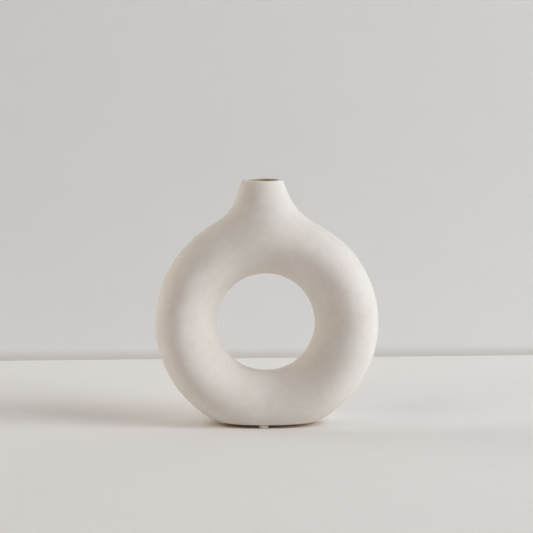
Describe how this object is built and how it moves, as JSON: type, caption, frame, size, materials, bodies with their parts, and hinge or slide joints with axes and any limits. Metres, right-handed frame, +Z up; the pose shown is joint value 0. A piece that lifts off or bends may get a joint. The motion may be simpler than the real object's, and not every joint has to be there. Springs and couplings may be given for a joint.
{
  "type": "bud vase",
  "caption": "Ring-shaped bud vase: a hollow round-section ring with an open centre, a short tapered neck and a flat base on clear stick-on feet.",
  "frame": {"origin": "on the standing surface, under the middle of the object's box and straight below the ring's centre", "axes": "+Z up through the ring's centre and the neck, +X to the right seen from the front, +Y from the front to the back through the ring's hole"},
  "size_m": [0.2228, 0.08, 0.2448],
  "materials": {
    "shell_plastic": "chalky matte off-white with faint mottling and fine grain",
    "bond_adhesive": "cured cream adhesive",
    "foot_rubber": "clear soft polyurethane, glossy",
    "tape_film": "clear adhesive film"
  },
  "bodies": {
    "root": {"front_shell": "shell_plastic", "back_shell": "shell_plastic", "outer_seam_bond": "bond_adhesive", "hole_seam_bond": "bond_adhesive", "front_foot": "foot_rubber", "right_foot": "foot_rubber", "back_foot": "foot_rubber", "left_foot": "foot_rubber", "front_foot_tape": "tape_film", "right_foot_tape": "tape_film", "back_foot_tape": "tape_film", "left_foot_tape": "tape_film"}
  },
  "joints": []
}
